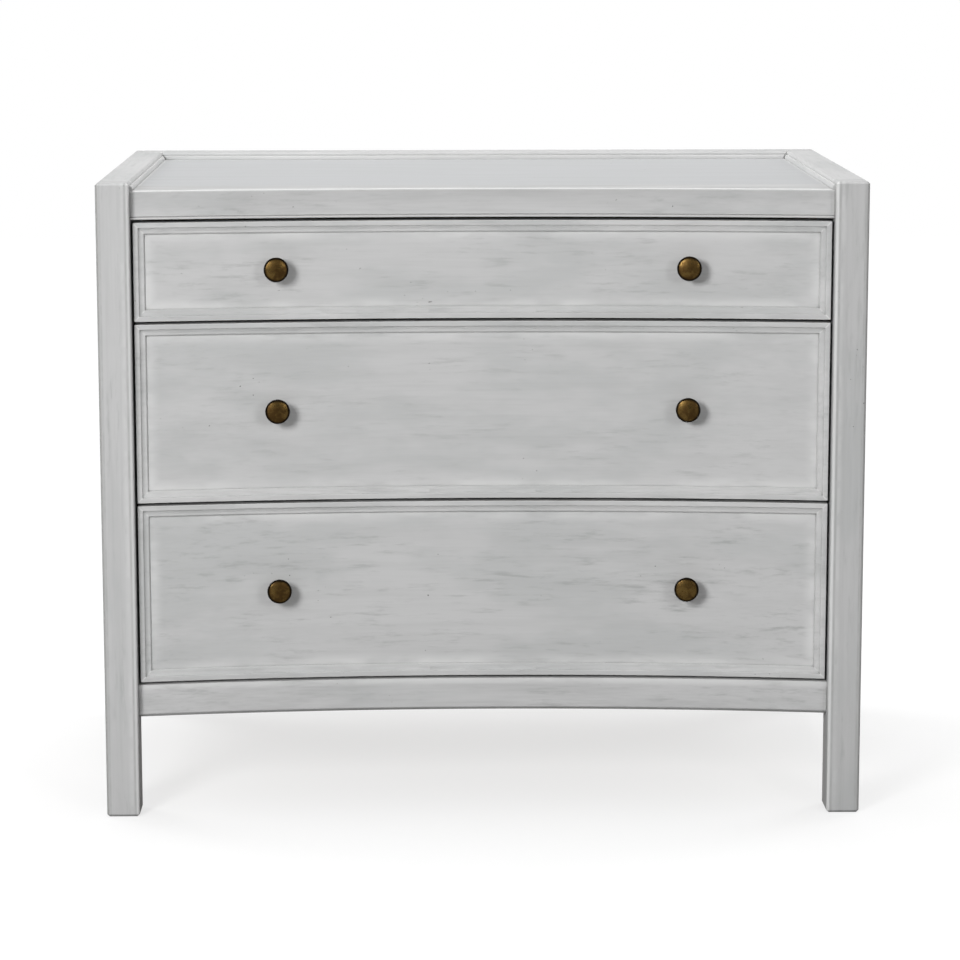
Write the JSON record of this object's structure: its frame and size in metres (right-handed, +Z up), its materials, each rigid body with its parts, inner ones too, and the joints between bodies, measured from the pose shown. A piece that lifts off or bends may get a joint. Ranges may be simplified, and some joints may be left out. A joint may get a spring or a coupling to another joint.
{
  "type": "low chest of drawers",
  "caption": "Low chest with drawers between square corner posts, with a hollow curved front, moulded drawer fronts, round brass knobs and a recessed top.",
  "frame": {"origin": "on the floor under the middle of the chest", "axes": "+X to the right seen from the front, +Y to the back, +Z up"},
  "size_m": [0.762, 0.483, 0.64],
  "materials": {
    "washed_wood": "grey white wash, brushed along the grain, satin",
    "drawer_box_wood": "plain planed hardwood, clear lacquer",
    "runner_wood": "plain planed hardwood, waxed",
    "plywood": "plywood, clear lacquer",
    "antique_brass": "antique brass, dark patina"
  },
  "bodies": {
    "carcass": {"back_panel": "plywood", "bottom_back_rail": "washed_wood", "bottom_front_rail": "washed_wood", "bottom_panel": "plywood", "glue_blocks": "runner_wood", "post_back_left": "washed_wood", "post_back_right": "washed_wood", "post_front_left": "washed_wood", "post_front_right": "washed_wood", "runner_bottom_left": "runner_wood", "runner_bottom_right": "runner_wood", "runner_middle_left": "runner_wood", "runner_middle_right": "runner_wood", "runner_top_left": "runner_wood", "runner_top_right": "runner_wood", "side_bottom_rail_left": "washed_wood", "side_bottom_rail_right": "washed_wood", "side_panel_left": "washed_wood", "side_panel_right": "washed_wood", "side_top_rail_left": "washed_wood", "side_top_rail_right": "washed_wood", "top_back_rail": "washed_wood", "top_front_rail": "washed_wood", "top_panel": "washed_wood", "top_trim_back": "washed_wood", "top_trim_left": "washed_wood", "top_trim_right": "washed_wood"},
    "drawer_top": {"drawer_top_back": "drawer_box_wood", "drawer_top_base": "plywood", "drawer_top_front": "washed_wood", "drawer_top_knobs": "antique_brass", "drawer_top_moulding": "washed_wood", "drawer_top_side_left": "drawer_box_wood", "drawer_top_side_right": "drawer_box_wood"},
    "drawer_middle": {"drawer_middle_back": "drawer_box_wood", "drawer_middle_base": "plywood", "drawer_middle_front": "washed_wood", "drawer_middle_knobs": "antique_brass", "drawer_middle_moulding": "washed_wood", "drawer_middle_side_left": "drawer_box_wood", "drawer_middle_side_right": "drawer_box_wood"},
    "drawer_bottom": {"drawer_bottom_back": "drawer_box_wood", "drawer_bottom_base": "plywood", "drawer_bottom_front": "washed_wood", "drawer_bottom_knobs": "antique_brass", "drawer_bottom_moulding": "washed_wood", "drawer_bottom_side_left": "drawer_box_wood", "drawer_bottom_side_right": "drawer_box_wood"}
  },
  "joints": [
    {"name": "drawer_top_slide", "type": "slide", "parent": "carcass", "child": "drawer_top", "axis": [0, -1, 0], "range_m": [0, 0.29]},
    {"name": "drawer_middle_slide", "type": "slide", "parent": "carcass", "child": "drawer_middle", "axis": [0, -1, 0], "range_m": [0, 0.29]},
    {"name": "drawer_bottom_slide", "type": "slide", "parent": "carcass", "child": "drawer_bottom", "axis": [0, -1, 0], "range_m": [0, 0.29]}
  ]
}
